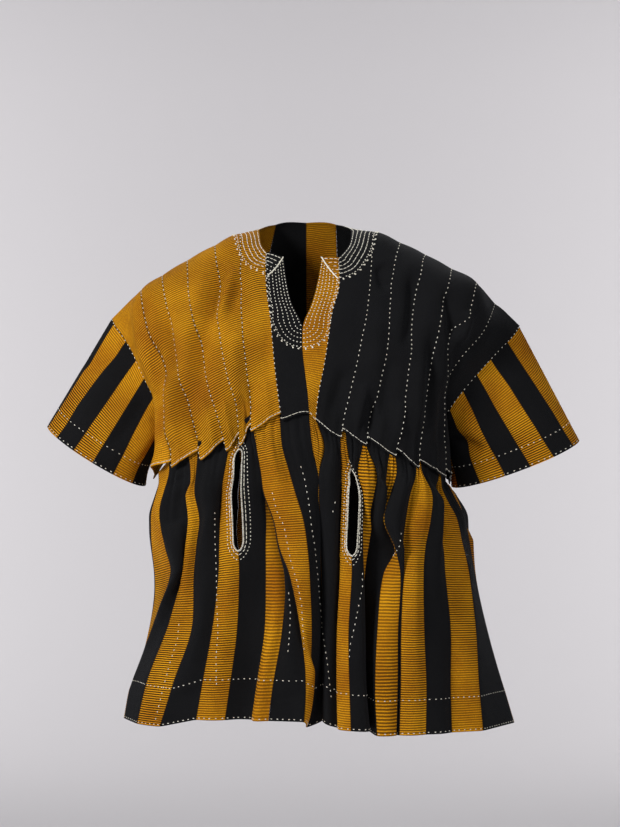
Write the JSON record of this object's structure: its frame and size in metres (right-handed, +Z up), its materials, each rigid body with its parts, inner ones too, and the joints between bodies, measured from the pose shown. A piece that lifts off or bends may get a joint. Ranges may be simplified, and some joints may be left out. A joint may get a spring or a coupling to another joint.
{
  "type": "fugu smock",
  "caption": "Short-sleeved handwoven smock of narrow black and gold strips, with a slit neck, a gathered skirt and two pocket slits, in its hollow worn shape.",
  "frame": {"origin": "middle of the neck opening, level with its highest edge, where the wearer's neck and shoulders hold the garment", "axes": "+Z up, the front with its slit faces -Y, the wearer's left side is towards +X"},
  "size_m": [0.7972, 0.3488, 0.7538],
  "materials": {
    "gold_strip_cloth": "handwoven cotton with fine dark cross lines",
    "black_strip_cloth": "handwoven matt black cotton",
    "white_thread": "cream cotton hand stitching"
  },
  "bodies": {
    "root": {"bodice_middle_gold_front": "gold_strip_cloth", "bodice_middle_gold_back": "gold_strip_cloth", "bodice_right_gold_1": "gold_strip_cloth", "bodice_right_gold_2": "gold_strip_cloth", "bodice_right_gold_3": "gold_strip_cloth", "bodice_right_gold_4": "gold_strip_cloth", "bodice_right_gold_5": "gold_strip_cloth", "bodice_right_gold_6": "gold_strip_cloth", "skirt_gold_02": "gold_strip_cloth", "skirt_gold_04": "gold_strip_cloth", "skirt_gold_06": "gold_strip_cloth", "skirt_gold_08": "gold_strip_cloth", "skirt_gold_10": "gold_strip_cloth", "skirt_gold_12": "gold_strip_cloth", "skirt_gold_14": "gold_strip_cloth", "skirt_gold_16": "gold_strip_cloth", "skirt_gold_18": "gold_strip_cloth", "skirt_gold_20": "gold_strip_cloth", "skirt_gold_22": "gold_strip_cloth", "skirt_gold_24": "gold_strip_cloth", "skirt_gold_26": "gold_strip_cloth", "skirt_gold_28": "gold_strip_cloth", "skirt_gold_30": "gold_strip_cloth", "skirt_gold_32": "gold_strip_cloth", "skirt_gold_34": "gold_strip_cloth", "skirt_gold_36": "gold_strip_cloth", "sleeve_right_front": "gold_strip_cloth", "sleeve_right_back": "gold_strip_cloth", "bodice_middle_black_front": "black_strip_cloth", "bodice_middle_black_back": "black_strip_cloth", "bodice_left_black_1": "black_strip_cloth", "bodice_left_black_2": "black_strip_cloth", "bodice_left_black_3": "black_strip_cloth", "bodice_left_black_4": "black_strip_cloth", "bodice_left_black_5": "black_strip_cloth", "bodice_left_black_6": "black_strip_cloth", "bodice_left_black_7": "black_strip_cloth", "skirt_black_01": "black_strip_cloth", "skirt_black_03": "black_strip_cloth", "skirt_black_05": "black_strip_cloth", "skirt_black_07": "black_strip_cloth", "skirt_black_09": "black_strip_cloth", "skirt_black_11": "black_strip_cloth", "skirt_black_13": "black_strip_cloth", "skirt_black_15": "black_strip_cloth", "skirt_black_17": "black_strip_cloth", "skirt_black_19": "black_strip_cloth", "skirt_black_21": "black_strip_cloth", "skirt_black_23": "black_strip_cloth", "skirt_black_25": "black_strip_cloth", "skirt_black_27": "black_strip_cloth", "skirt_black_29": "black_strip_cloth", "skirt_black_31": "black_strip_cloth", "skirt_black_33": "black_strip_cloth", "skirt_black_35": "black_strip_cloth", "sleeve_left_front": "black_strip_cloth", "sleeve_left_back": "black_strip_cloth", "pocket_edge_right": "white_thread", "pocket_edge_left": "white_thread"}
  },
  "joints": []
}
